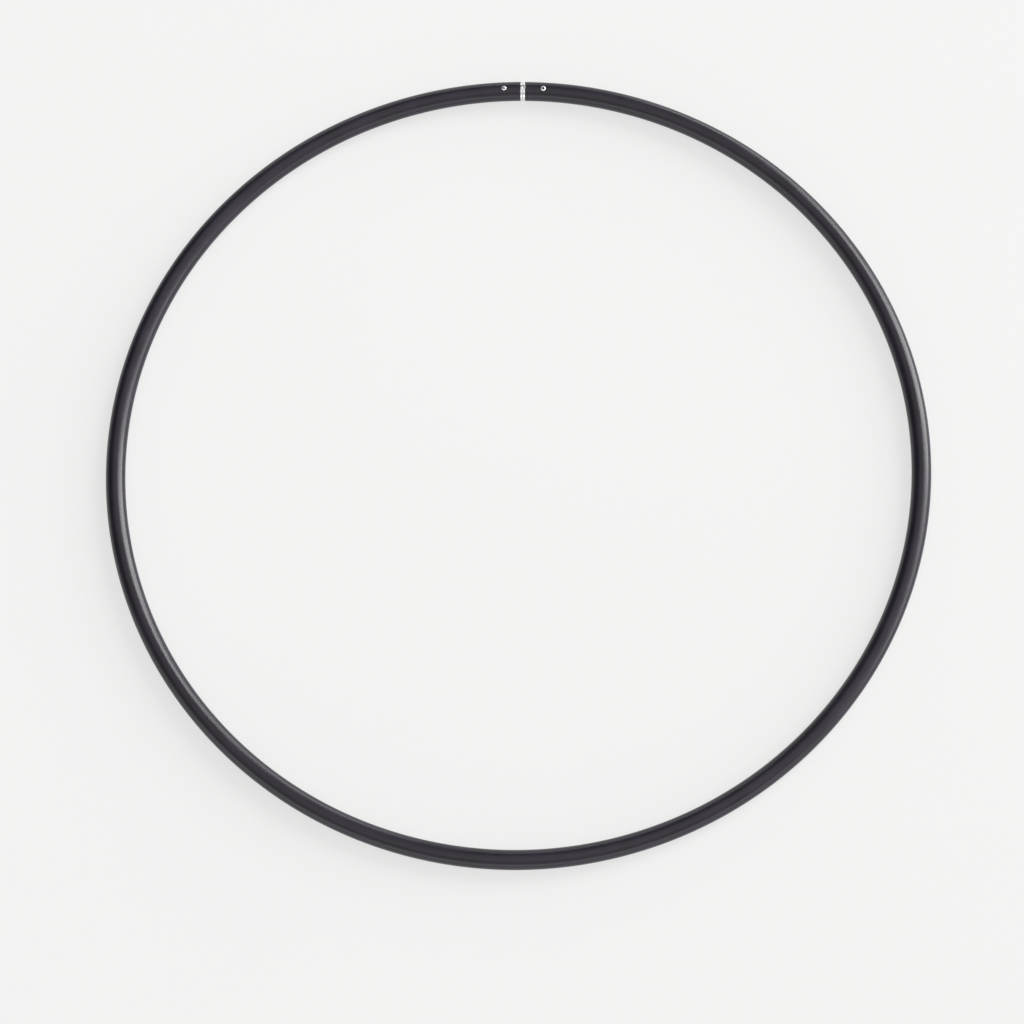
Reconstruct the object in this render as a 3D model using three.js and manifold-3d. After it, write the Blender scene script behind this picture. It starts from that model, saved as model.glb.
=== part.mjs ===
// Rhythmic gymnastics hoop with a take-apart joint. Millimetres, +Z up.
//
// One springy plastic tube is bent into a ring. Each cut end wears a flanged metal ferrule, and the two
// flanges meet at a fine seam. A plastic insert bridges the ends inside: a blind rivet fixes it in the
// right end, and a sprung button latches it in the left end. Pressed flush, the button lets the insert out.
//
// The hoop lies flat on Z = 0, centred on the origin, with the joint at +Y and both fasteners facing up.
//
// The joint's pieces are shaped on a straight tube first and then bent onto the ring. On the straight
// tube X runs along the tube from the seam, Y points away from the ring's centre, and Z points up.

import * as THREE from 'three';
import { mergeVertices } from 'three/addons/utils/BufferGeometryUtils.js';
import Module from 'manifold-3d';

// ---------------------------------------------------------------- driving dimensions

const INNER_DIAMETER = 800; // the size that hoops are sold and judged by
const TUBE_DIAMETER = 20;
const TUBE_WALL = 2.25;
const GAP = 0.3; // between pieces that touch on the real hoop

const SEAM = 0.4; // between the two flanges
const FLANGE_THICKNESS = 2.1;
const FLANGE_BEVEL = 0.3; // around the flange's rim, on the seam side
const FERRULE_LENGTH = 32; // from the seam to the sleeve's inner end
const FERRULE_WALL = 0.8;

const INSERT_WALL = 1.7;
const INSERT_REACH = 36; // each way from the seam
const INSERT_CHAMFER = 0.8;

const BUTTON_AT = -19.7; // from the seam, along the tube
const RIVET_AT = 21.5;

// Radii, and lengths across the tube. A rivet's or button's proud height is above the tube's surface.
const COUNTERBORE = { radius: 3.2, depth: 1 };
const RIVET = { flange: 2.75, proud: 0.2, shank: 1.6, bore: 1.05, bulb: 2.3, tail: 2, tailTaper: 0.6, hole: 1.9 };
const RIVET_CROWN = { rim: 0.3, midDrop: 0.15, midInset: 0.5, topInset: 1.1 };
const MANDREL = { shaft: 0.75, recess: 0.9, head: 1.5, headHeight: 1.5 };
const MANDREL_NOSE = { radius: 0.9, rise: 0.2, top: 0.8 };
const BUTTON = { radius: 2.5, proud: 0.4, shoulder: 3.4, shoulderThickness: 1, stub: 1, stubLength: 0.9 };
const BUTTON_CROWN = { drop: 0.7, midDrop: 0.25, midInset: 0.25, topInset: 0.8 };
const DIMPLE = { radius: 0.9, bottom: 0.72, depth: 0.8 };
const BUTTON_HOLE = { tube: 3, insert: 2.8 };

// The spring's pad is half its flat under the button, and its tip is where the fold ends, along the tube.
const SPRING = { width: 4.8, thickness: 0.5, stubHole: 1.3, pad: 4, lowerExtra: 2, tip: -3.5, fold: 0.9 };
const SPRING_STEPS = 48;

const RING_STEPS = 96;
const TUBE_SIDES = 16; // flat sides of every round section along the tube
const SMALL_SIDES = 24; // flat sides of the holes, the rivet and the button
const BEND_STEP = 6; // longest stretch along the tube between two bends

// ---------------------------------------------------------------- worked out from them

const TUBE_RADIUS = TUBE_DIAMETER / 2;
const RING_RADIUS = INNER_DIAMETER / 2 + TUBE_RADIUS; // to the tube's centreline
const TUBE_BORE = TUBE_RADIUS - TUBE_WALL;
const FERRULE_OUTER = TUBE_BORE - GAP;
const FERRULE_BORE = FERRULE_OUTER - FERRULE_WALL;
const INSERT_OUTER = FERRULE_BORE - GAP;
const INSERT_BORE = INSERT_OUTER - INSERT_WALL;
const TUBE_END = SEAM / 2 + FLANGE_THICKNESS + GAP; // from the seam's middle

// ---------------------------------------------------------------- solids

const wasm = await Module();
wasm.setup();

/** A closed three.js geometry as a solid, with shared vertices merged and collapsed triangles dropped. */
function toSolid(geometry) {
  const bare = geometry.clone();
  bare.deleteAttribute('normal');
  bare.deleteAttribute('uv');
  const merged = mergeVertices(bare);
  const index = merged.index.array;
  const kept = [];
  for (let i = 0; i < index.length; i += 3) {
    const [a, b, c] = index.subarray(i, i + 3);
    if (a !== b && b !== c && c !== a) kept.push(a, b, c);
  }
  const mesh = new wasm.Mesh({
    numProp: 3,
    vertProperties: Float32Array.from(merged.attributes.position.array),
    triVerts: Uint32Array.from(kept),
  });
  return new wasm.Manifold(mesh);
}

/** A solid back as a three.js geometry with flat-shaded faces. */
function toGeometry(solid) {
  const mesh = solid.getMesh();
  const geometry = new THREE.BufferGeometry();
  geometry.setAttribute('position', new THREE.BufferAttribute(mesh.vertProperties, 3));
  geometry.setIndex(new THREE.BufferAttribute(mesh.triVerts, 1));
  const flat = geometry.toNonIndexed();
  flat.computeVertexNormals();
  return flat;
}

/** A solid with holes cut out of it. */
function cut(geometry, ...holes) {
  return toGeometry(holes.reduce((solid, hole) => solid.subtract(toSolid(hole)), toSolid(geometry)));
}

/** Where a point of the straight tube lies on the ring. */
function onRing(x, y, z, target = new THREE.Vector3()) {
  const angle = x / RING_RADIUS;
  const radius = RING_RADIUS + y;
  return target.set(radius * Math.sin(angle), radius * Math.cos(angle), TUBE_RADIUS + z);
}

/** Bends a geometry made on the straight tube onto the ring. */
function bend(geometry) {
  const position = geometry.attributes.position;
  const point = new THREE.Vector3();
  for (let i = 0; i < position.count; i += 1) {
    point.fromBufferAttribute(position, i);
    onRing(point.x, point.y, point.z, point);
    position.setXYZ(i, point.x, point.y, point.z);
  }
  return geometry;
}

/** A profile of [along, radius] points with long stretches split, so that they can bend. */
function splitLong(profile) {
  return profile.flatMap(([x, r], i) => {
    if (i === 0) return [[x, r]];
    const [fromX, fromR] = profile[i - 1];
    const parts = Math.max(1, Math.ceil(Math.abs(x - fromX) / BEND_STEP));
    return Array.from({ length: parts }, (_, k) => {
      const t = (k + 1) / parts;
      return [THREE.MathUtils.lerp(fromX, x, t), THREE.MathUtils.lerp(fromR, r, t)];
    });
  });
}

/** A sleeve around the tube's axis, from a closed profile whose radii are measured to the flats. */
function sleeve(profile) {
  const corner = 1 / Math.cos(Math.PI / TUBE_SIDES);
  const points = splitLong(profile).map(([x, r]) => new THREE.Vector2(r * corner, x));
  const geometry = new THREE.LatheGeometry(points, TUBE_SIDES, Math.PI / TUBE_SIDES);
  return bend(geometry.rotateZ(-Math.PI / 2));
}

/** A turned piece that stands across the tube at x, from a profile of [radius, height] points. */
function turned(profile, x) {
  const points = profile.map(([r, z]) => new THREE.Vector2(r, z));
  const geometry = new THREE.LatheGeometry(points, SMALL_SIDES).rotateX(Math.PI / 2);
  const place = onRing(x, 0, 0);
  return geometry.rotateZ(-x / RING_RADIUS).translate(place.x, place.y, place.z);
}

/** A round cutter across the tube at x, from one height to another above the tube's axis. */
function drill(radius, x, bottom = 0, top = TUBE_RADIUS + 1) {
  return turned([[0, bottom], [radius, bottom], [radius, top], [0, top]], x);
}

// ---------------------------------------------------------------- the tube

/** The tube's centreline, from one cut end round to the other. */
class TubeLine extends THREE.Curve {
  getPoint(t, target) {
    const whole = 2 * Math.PI * RING_RADIUS;
    return onRing(THREE.MathUtils.lerp(TUBE_END, whole - TUBE_END, t), 0, 0, target);
  }
}

/** A regular polygon with flats facing up, down, in and out, given its radius to the flats. */
function section(radius) {
  const corner = radius / Math.cos(Math.PI / TUBE_SIDES);
  return Array.from({ length: TUBE_SIDES }, (_, i) => {
    const angle = ((2 * i + 1) * Math.PI) / TUBE_SIDES;
    return new THREE.Vector2(corner * Math.cos(angle), corner * Math.sin(angle));
  });
}

function hoopTube() {
  const outline = new THREE.Shape(section(TUBE_RADIUS));
  outline.holes.push(new THREE.Path(section(TUBE_BORE)));
  const ring = new THREE.ExtrudeGeometry(outline, { steps: RING_STEPS, extrudePath: new TubeLine() });
  return cut(
    ring,
    drill(BUTTON_HOLE.tube, BUTTON_AT),
    drill(RIVET.hole, RIVET_AT),
    drill(COUNTERBORE.radius, RIVET_AT, TUBE_RADIUS - COUNTERBORE.depth),
  );
}

// ---------------------------------------------------------------- the joint

/** A flanged ferrule on one side of the seam: +1 is the right end, -1 the left. */
function ferrule(side, hole) {
  const face = SEAM / 2;
  const back = face + FLANGE_THICKNESS;
  const profile = [
    [face, FERRULE_BORE],
    [face, TUBE_RADIUS - FLANGE_BEVEL],
    [face + FLANGE_BEVEL, TUBE_RADIUS],
    [back, TUBE_RADIUS],
    [back, FERRULE_OUTER],
    [FERRULE_LENGTH, FERRULE_OUTER],
    [FERRULE_LENGTH, FERRULE_BORE],
    [face, FERRULE_BORE],
  ];
  const placed = side > 0 ? profile : profile.map(([x, r]) => [-x, r]).reverse();
  return cut(sleeve(placed), hole);
}

function jointInsert() {
  const nose = INSERT_REACH - INSERT_CHAMFER;
  const chamfered = INSERT_OUTER - INSERT_CHAMFER;
  const profile = [
    [-INSERT_REACH, INSERT_BORE],
    [-INSERT_REACH, chamfered],
    [-nose, INSERT_OUTER],
    [nose, INSERT_OUTER],
    [INSERT_REACH, chamfered],
    [INSERT_REACH, INSERT_BORE],
    [-INSERT_REACH, INSERT_BORE],
  ];
  return cut(sleeve(profile), drill(BUTTON_HOLE.insert, BUTTON_AT), drill(RIVET.hole, RIVET_AT));
}

// ---------------------------------------------------------------- the rivet

const RIVET_SEAT = TUBE_RADIUS - COUNTERBORE.depth + GAP; // underside of the flange
const RIVET_TOP = TUBE_RADIUS + RIVET.proud;
const BULB_TOP = INSERT_BORE - 2 * GAP;

function rivetBody() {
  const bulbShoulder = BULB_TOP - (RIVET.bulb - RIVET.shank);
  return toGeometry(toSolid(turned([
    [RIVET.bore, RIVET.tail],
    [RIVET.shank, RIVET.tail],
    [RIVET.bulb, RIVET.tail + RIVET.tailTaper],
    [RIVET.bulb, bulbShoulder],
    [RIVET.shank, BULB_TOP],
    [RIVET.shank, RIVET_SEAT],
    [RIVET.flange, RIVET_SEAT],
    [RIVET.flange, RIVET_SEAT + RIVET_CROWN.rim],
    [RIVET.flange - RIVET_CROWN.midInset, RIVET_TOP - RIVET_CROWN.midDrop],
    [RIVET.flange - RIVET_CROWN.topInset, RIVET_TOP],
    [RIVET.bore, RIVET_TOP],
    [RIVET.bore, RIVET.tail],
  ], RIVET_AT)));
}

function rivetMandrel() {
  const top = RIVET_TOP - MANDREL.recess;
  const headTop = RIVET.tail - GAP;
  const headBottom = headTop - MANDREL.headHeight;
  return toGeometry(toSolid(turned([
    [0, headBottom],
    [MANDREL_NOSE.radius, headBottom + MANDREL_NOSE.rise],
    [MANDREL.head, headBottom + MANDREL_NOSE.top],
    [MANDREL.head, headTop],
    [MANDREL.shaft, headTop],
    [MANDREL.shaft, top],
    [0, top],
  ], RIVET_AT)));
}

// ---------------------------------------------------------------- the snap button and its spring

const SHOULDER_TOP = Math.sqrt(INSERT_BORE ** 2 - BUTTON.shoulder ** 2) - GAP; // its rim meets the bore
const SHOULDER_BOTTOM = SHOULDER_TOP - BUTTON.shoulderThickness;
const BUTTON_TOP = TUBE_RADIUS + BUTTON.proud;

function snapButton() {
  return toGeometry(toSolid(turned([
    [0, SHOULDER_BOTTOM - BUTTON.stubLength],
    [BUTTON.stub, SHOULDER_BOTTOM - BUTTON.stubLength],
    [BUTTON.stub, SHOULDER_BOTTOM],
    [BUTTON.shoulder, SHOULDER_BOTTOM],
    [BUTTON.shoulder, SHOULDER_TOP],
    [BUTTON.radius, SHOULDER_TOP],
    [BUTTON.radius, BUTTON_TOP - BUTTON_CROWN.drop],
    [BUTTON.radius - BUTTON_CROWN.midInset, BUTTON_TOP - BUTTON_CROWN.midDrop],
    [BUTTON.radius - BUTTON_CROWN.topInset, BUTTON_TOP],
    [DIMPLE.radius, BUTTON_TOP],
    [DIMPLE.bottom, BUTTON_TOP - DIMPLE.depth],
    [0, BUTTON_TOP - DIMPLE.depth],
  ], BUTTON_AT)));
}

/** A leaf folded like a hairpin: flat under the button, sloping down to a round fold, and flat below. */
function buttonSpring() {
  const half = SPRING.thickness / 2;
  const upper = SHOULDER_BOTTOM - GAP - half;
  const lower = -Math.sqrt(INSERT_BORE ** 2 - (SPRING.width / 2) ** 2) + GAP + half;
  const slopeFrom = BUTTON_AT + SPRING.pad;
  const foldAt = SPRING.tip - SPRING.fold;
  const slope = Math.atan2(upper - lower - 2 * SPRING.fold, foldAt - slopeFrom);

  const side = new THREE.Path();
  side.moveTo(BUTTON_AT - SPRING.pad, upper);
  side.lineTo(slopeFrom, upper);
  side.absarc(foldAt, lower + SPRING.fold, SPRING.fold, Math.PI / 2 - slope, -Math.PI / 2, true);
  side.lineTo(BUTTON_AT - SPRING.pad - SPRING.lowerExtra, lower);
  const line = new THREE.CatmullRomCurve3(
    side.getSpacedPoints(SPRING_STEPS).map(({ x, y }) => new THREE.Vector3(x, 0, y)),
  );

  const edge = SPRING.width / 2;
  const strip = new THREE.Shape();
  strip.moveTo(-half, -edge).lineTo(half, -edge).lineTo(half, edge).lineTo(-half, edge);
  const leaf = bend(new THREE.ExtrudeGeometry(strip, { steps: SPRING_STEPS, extrudePath: line }));
  return cut(leaf, drill(SPRING.stubHole, BUTTON_AT, upper - 2 * half));
}

// ---------------------------------------------------------------- assembly

const MATERIALS = {
  blackPlastic: { color: 0x2b2a2f, roughness: 0.42, metalness: 0 },
  polishedMetal: { color: 0xd9d9dc, roughness: 0.18, metalness: 1 },
  greyPlastic: { color: 0x5a5c60, roughness: 0.5, metalness: 0 },
  aluminium: { color: 0xcfd0d2, roughness: 0.3, metalness: 1 },
  mandrelSteel: { color: 0x7d7f83, roughness: 0.4, metalness: 1 },
  stainlessSteel: { color: 0xc9cacd, roughness: 0.22, metalness: 1 },
  springSteel: { color: 0x9a9ca1, roughness: 0.35, metalness: 1 },
};

const buttonHole = drill(BUTTON_HOLE.tube, BUTTON_AT);
const rivetHole = drill(RIVET.hole, RIVET_AT);

const PIECES = [
  ['hoop_tube', hoopTube(), MATERIALS.blackPlastic],
  ['left_end_ferrule', ferrule(-1, buttonHole), MATERIALS.polishedMetal],
  ['right_end_ferrule', ferrule(1, rivetHole), MATERIALS.polishedMetal],
  ['joint_insert', jointInsert(), MATERIALS.greyPlastic],
  ['rivet_body', rivetBody(), MATERIALS.aluminium],
  ['rivet_mandrel', rivetMandrel(), MATERIALS.mandrelSteel],
  ['snap_button', snapButton(), MATERIALS.stainlessSteel],
  ['button_spring', buttonSpring(), MATERIALS.springSteel],
];

const hoop = new THREE.Group();
for (const [name, geometry, look] of PIECES) {
  const mesh = new THREE.Mesh(geometry, new THREE.MeshStandardMaterial(look));
  mesh.name = name;
  hoop.add(mesh);
}

export default hoop;
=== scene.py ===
"""A rhythmic gymnastics hoop with a take-apart joint, made and dressed in metres, +Z up.

The hoop lies flat on the floor, with its joint at +Y and both fasteners facing up. One springy black plastic
tube makes the ring. Each cut end wears a flanged ferrule of polished metal, and a nylon insert bridges the
two ends inside. A blind rivet holds the insert in the right end, and a sprung button latches it in the left.

The joint's pieces are shaped on a straight tube and then bent onto the ring. On the straight tube X runs
along the tube from the seam, Y points away from the ring's centre, and Z points up from the tube's axis.
"""

from __future__ import annotations

import logging
import math
import random
from dataclasses import dataclass
from enum import Enum
from typing import Any, Callable, Mapping, Optional, Sequence, Union

import bmesh
import bpy
from mathutils import Matrix, Vector


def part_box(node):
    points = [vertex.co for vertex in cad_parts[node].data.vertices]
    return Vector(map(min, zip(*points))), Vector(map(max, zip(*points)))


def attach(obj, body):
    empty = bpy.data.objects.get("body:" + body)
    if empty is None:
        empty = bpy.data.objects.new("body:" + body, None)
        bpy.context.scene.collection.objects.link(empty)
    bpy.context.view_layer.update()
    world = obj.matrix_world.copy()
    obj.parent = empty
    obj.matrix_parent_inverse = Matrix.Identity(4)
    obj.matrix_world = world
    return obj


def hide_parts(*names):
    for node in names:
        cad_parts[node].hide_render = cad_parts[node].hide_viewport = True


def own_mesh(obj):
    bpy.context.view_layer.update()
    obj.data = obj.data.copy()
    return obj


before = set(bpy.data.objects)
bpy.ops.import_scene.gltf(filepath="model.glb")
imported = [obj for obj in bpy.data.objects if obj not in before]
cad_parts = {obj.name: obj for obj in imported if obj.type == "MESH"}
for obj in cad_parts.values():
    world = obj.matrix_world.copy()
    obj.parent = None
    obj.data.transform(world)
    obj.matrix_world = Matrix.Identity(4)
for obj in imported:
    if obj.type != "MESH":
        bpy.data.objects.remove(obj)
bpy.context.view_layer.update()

log = logging.getLogger("hoop")

MM = 0.001
BEND_STEP = 1.5 * MM  # the longest straight stretch of a sleeve that is bent onto the ring
CREASE = 32.0  # degrees between faces, past which an edge stays sharp

Key = Union[str, int]
Colour = tuple[float, float, float]
Faces = list[tuple[int, ...]]


# ---------------------------------------------------------------- the ring


class Body(Enum):
    """The parts of the hoop that move as one."""

    HOOP = "hoop"
    BUTTON = "button"


@dataclass(frozen=True)
class RingSpace:
    """The ring that the straight tube is bent into.

    Attributes:
        ring_radius: From the ring's centre to the tube's axis.
        tube_radius: From the tube's axis to its skin.
    """

    ring_radius: float
    tube_radius: float

    @classmethod
    def from_frame(cls, node: str = "hoop_tube") -> RingSpace:
        """The ring that the frame's tube makes.

        Args:
            node: The frame's name for the tube.

        Returns:
            The ring, with its radii read off the tube's box.
        """
        low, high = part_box(node)
        tube_radius = (high.z - low.z) / 2
        return cls(ring_radius=-low.y - tube_radius, tube_radius=tube_radius)

    @property
    def length(self) -> float:
        """The whole way round the ring along the tube's axis."""
        return 2 * math.pi * self.ring_radius

    def place(self, point: Vector) -> Vector:
        """Where a point of the straight tube lies on the ring.

        Args:
            point: Along the tube, away from the ring's centre, and up.

        Returns:
            The point in the frame.
        """
        angle = point.x / self.ring_radius
        radius = self.ring_radius + point.y
        return Vector((radius * math.sin(angle), radius * math.cos(angle), self.tube_radius + point.z))

    def stand(self, along: float) -> Matrix:
        """The matrix that stands a piece upright across the tube, at a distance along it from the seam."""
        turned = Matrix.Rotation(-along / self.ring_radius, 4, "Z")
        return Matrix.Translation(self.place(Vector((along, 0, 0)))) @ turned

    def along(self, node: str) -> float:
        """How far along the tube from the seam a frame node's middle lies.

        Args:
            node: The frame's name for the piece.

        Returns:
            The distance, less than 0 on the left.
        """
        low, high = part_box(node)
        middle = (low + high) / 2
        return self.ring_radius * math.atan2(middle.x, middle.y)

    def outward(self, point: Vector) -> Vector:
        """The vector from the tube's axis to a point of the frame, by the shortest way."""
        flat = Vector((point.x, point.y, 0)).normalized()
        return point - flat * self.ring_radius - Vector((0, 0, self.tube_radius))


# ---------------------------------------------------------------- outlines and meshes


@dataclass(frozen=True)
class Corner:
    """A corner of an outline, rounded off by an arc.

    Attributes:
        x: Along the outline's axis, or out from it for an upright turned piece.
        y: The other coordinate.
        fillet: The arc's radius, 0 where the corner stays sharp.
    """

    x: float
    y: float
    fillet: float = 0.0


def rounded(corners: Sequence[Corner], closed: bool, steps: int = 5) -> list[Vector]:
    """An outline's points, with its corners rounded off.

    Args:
        corners: The outline's corners in order.
        closed: Whether the last corner joins the first.
        steps: The straight pieces in each arc.

    Returns:
        The points in order.
    """
    points: list[Vector] = []
    for i, corner in enumerate(corners):
        here = Vector((corner.x, corner.y))
        if corner.fillet == 0 or (not closed and i in (0, len(corners) - 1)):
            points.append(here)
            continue
        before = corners[i - 1]
        after = corners[(i + 1) % len(corners)]
        back = (Vector((before.x, before.y)) - here).normalized()
        onward = (Vector((after.x, after.y)) - here).normalized()
        half = back.angle(onward) / 2
        centre = here + (back + onward).normalized() * corner.fillet / math.sin(half)
        reach = corner.fillet / math.tan(half)
        start = here + back * reach - centre
        end = here + onward * reach - centre
        points += [centre + start.lerp(end, k / steps).normalized() * corner.fillet for k in range(steps + 1)]
    return points


def split(points: Sequence[Vector], step: Callable[[float], float]) -> list[Vector]:
    """Splits an outline's long stretches, so that they can bend.

    Args:
        points: The outline's points.
        step: The longest stretch allowed at a given x.

    Returns:
        The outline with more points.
    """
    split_points = [points[0]]
    for point in points[1:]:
        start = split_points[-1]
        run = abs(point.x - start.x)
        if run > step(start.x):
            forward = math.copysign(1, point.x - start.x)
            x = start.x
            while (point.x - x) * forward > 1.5 * step(x + forward * step(x) / 2):
                x += forward * step(x + forward * step(x) / 2)
                split_points.append(start.lerp(point, abs(x - start.x) / run))
        split_points.append(point)
    return split_points


def bendable(corners: Sequence[Corner], step: Callable[[float], float]) -> list[Vector]:
    """A closed outline's points, rounded off and then split so that it can bend."""
    outline = rounded(corners, closed=True)
    return split(outline + outline[:1], step)[:-1]


def turn(outline: Sequence[Vector], sides: int, closed: bool) -> tuple[list[Vector], Faces]:
    """Turns an outline about an axis.

    Args:
        outline: Points of (distance along the axis, radius). An open outline starts and ends on the axis.
        sides: The flat sides all the way round.
        closed: Whether the last point joins the first.

    Returns:
        The corners as (along the axis, first side, second side), and the faces.
    """
    corners: list[Vector] = []
    rings: list[Sequence[int]] = []
    for along, radius in outline:
        around = sides if radius > 0 else 1
        rings.append(range(len(corners), len(corners) + around))
        for k in range(around):
            angle = 2 * math.pi * k / sides
            corners.append(Vector((along, radius * math.cos(angle), radius * math.sin(angle))))
    faces: Faces = []
    for ring, following in zip(rings, rings[1:] + (rings[:1] if closed else [])):
        for k in range(sides):
            near = (ring[k % len(ring)], ring[(k + 1) % sides % len(ring)])
            far = (following[(k + 1) % sides % len(following)], following[k % len(following)])
            faces.append(tuple(dict.fromkeys(near + far)))
    return corners, faces


def link(name: str, data: bpy.types.ID) -> bpy.types.Object:
    """Puts an object in the scene.

    Args:
        name: Its name.
        data: Its mesh, light or camera.

    Returns:
        The object.
    """
    linked = bpy.data.objects.new(name, data)
    bpy.context.scene.collection.objects.link(linked)
    return linked


def solid(name: str, corners: Sequence[Vector], faces: Faces) -> bpy.types.Object:
    """A closed body with its faces pointing out.

    Args:
        name: The piece's name.
        corners: The body's corners in the frame.
        faces: The corners of each face.

    Returns:
        The body, linked to the scene.
    """
    mesh = bpy.data.meshes.new(name)
    mesh.from_pydata(corners, [], faces)
    body = bmesh.new()
    body.from_mesh(mesh)
    bmesh.ops.recalc_face_normals(body, faces=body.faces)
    body.to_mesh(mesh)
    body.free()
    return link(name, mesh)


def sleeve(name: str, outline: Sequence[Vector], sides: int, space: RingSpace) -> bpy.types.Object:
    """A hollow piece bent onto the ring, from a closed outline of (along the tube, radius) points."""
    corners, faces = turn(outline, sides, closed=True)
    return solid(name, [space.place(corner) for corner in corners], faces)


def upright(
    name: str, corners: Sequence[Corner], closed: bool, along: float, space: RingSpace, sides: int = 96
) -> bpy.types.Object:
    """A turned piece that stands across the tube.

    Args:
        name: The piece's name.
        corners: Its outline as corners of (radius, height above the tube's axis).
        closed: Whether the piece is hollow, with an outline that joins up.
        along: The piece's distance from the seam.
        space: The ring.
        sides: The flat sides all the way round.

    Returns:
        The piece.
    """
    outline = [Vector((point.y, point.x)) for point in rounded(corners, closed)]
    turned, faces = turn(outline, sides, closed)
    standing = space.stand(along)
    return solid(name, [standing @ Vector((corner.y, corner.z, corner.x)) for corner in turned], faces)


def punch(
    radius: float, low: float, high: float, along: float, space: RingSpace, sides: int = 96
) -> bpy.types.Object:
    """A plain round cutter that stands across the tube, between two heights above the tube's axis."""
    corners = [Corner(0, low), Corner(radius, low), Corner(radius, high), Corner(0, high)]
    return upright("cutter", corners, False, along, space, sides)


def drill(piece: bpy.types.Object, cutters: Sequence[bpy.types.Object]) -> None:
    """Cuts holes in a piece and throws the cutters away.

    Args:
        piece: The piece to cut.
        cutters: Closed bodies of the holes' shapes.
    """
    for cutter in cutters:
        cut = piece.modifiers.new("hole", "BOOLEAN")
        cut.operation = "DIFFERENCE"
        cut.solver = "EXACT"
        cut.object = cutter
    whole = piece.data
    drilled = piece.evaluated_get(bpy.context.evaluated_depsgraph_get())
    piece.data = bpy.data.meshes.new_from_object(drilled)
    piece.data.name = piece.name
    piece.modifiers.clear()
    bpy.data.meshes.remove(whole)
    for cutter in cutters:
        bpy.data.meshes.remove(cutter.data)


def smooth(piece: bpy.types.Object) -> None:
    """Shades a piece smooth up to its creases."""
    piece.data.shade_smooth()
    piece.data.set_sharp_from_angle(angle=math.radians(CREASE))


# ---------------------------------------------------------------- shader graphs


class Signal:
    """A value that varies over a surface. Python's operators on it add Math nodes."""

    def __init__(self, graph: Graph, socket: bpy.types.NodeSocket) -> None:
        """Wraps one output socket of a graph's node."""
        self.graph = graph
        self.socket = socket

    def __add__(self, other: Operand) -> Signal:
        """This value plus another."""
        return self.graph.math("ADD", self, other)

    def __radd__(self, other: Operand) -> Signal:
        """Another value plus this one."""
        return self.graph.math("ADD", other, self)

    def __sub__(self, other: Operand) -> Signal:
        """This value less another."""
        return self.graph.math("SUBTRACT", self, other)

    def __rsub__(self, other: Operand) -> Signal:
        """Another value less this one."""
        return self.graph.math("SUBTRACT", other, self)

    def __mul__(self, other: Operand) -> Signal:
        """This value times another."""
        return self.graph.math("MULTIPLY", self, other)

    def __rmul__(self, other: Operand) -> Signal:
        """Another value times this one."""
        return self.graph.math("MULTIPLY", other, self)

    def __pow__(self, power: Operand) -> Signal:
        """This value raised to a power."""
        return self.graph.math("POWER", self, power)

    def __abs__(self) -> Signal:
        """This value without its sign."""
        return self.graph.math("ABSOLUTE", self)

    def rise(self, low: float, high: float) -> Signal:
        """A smooth step over this value.

        Args:
            low: Where the step starts, giving 0.
            high: Where it ends, giving 1. It may be less than low.

        Returns:
            The step, from 0 to 1.
        """
        if low > high:
            return 1 - self.rise(high, low)
        sockets = {"Value": self, "From Min": low, "From Max": high}
        return self.graph.node("ShaderNodeMapRange", {"interpolation_type": "SMOOTHSTEP"}, sockets)


Operand = Union[Signal, float]


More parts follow.
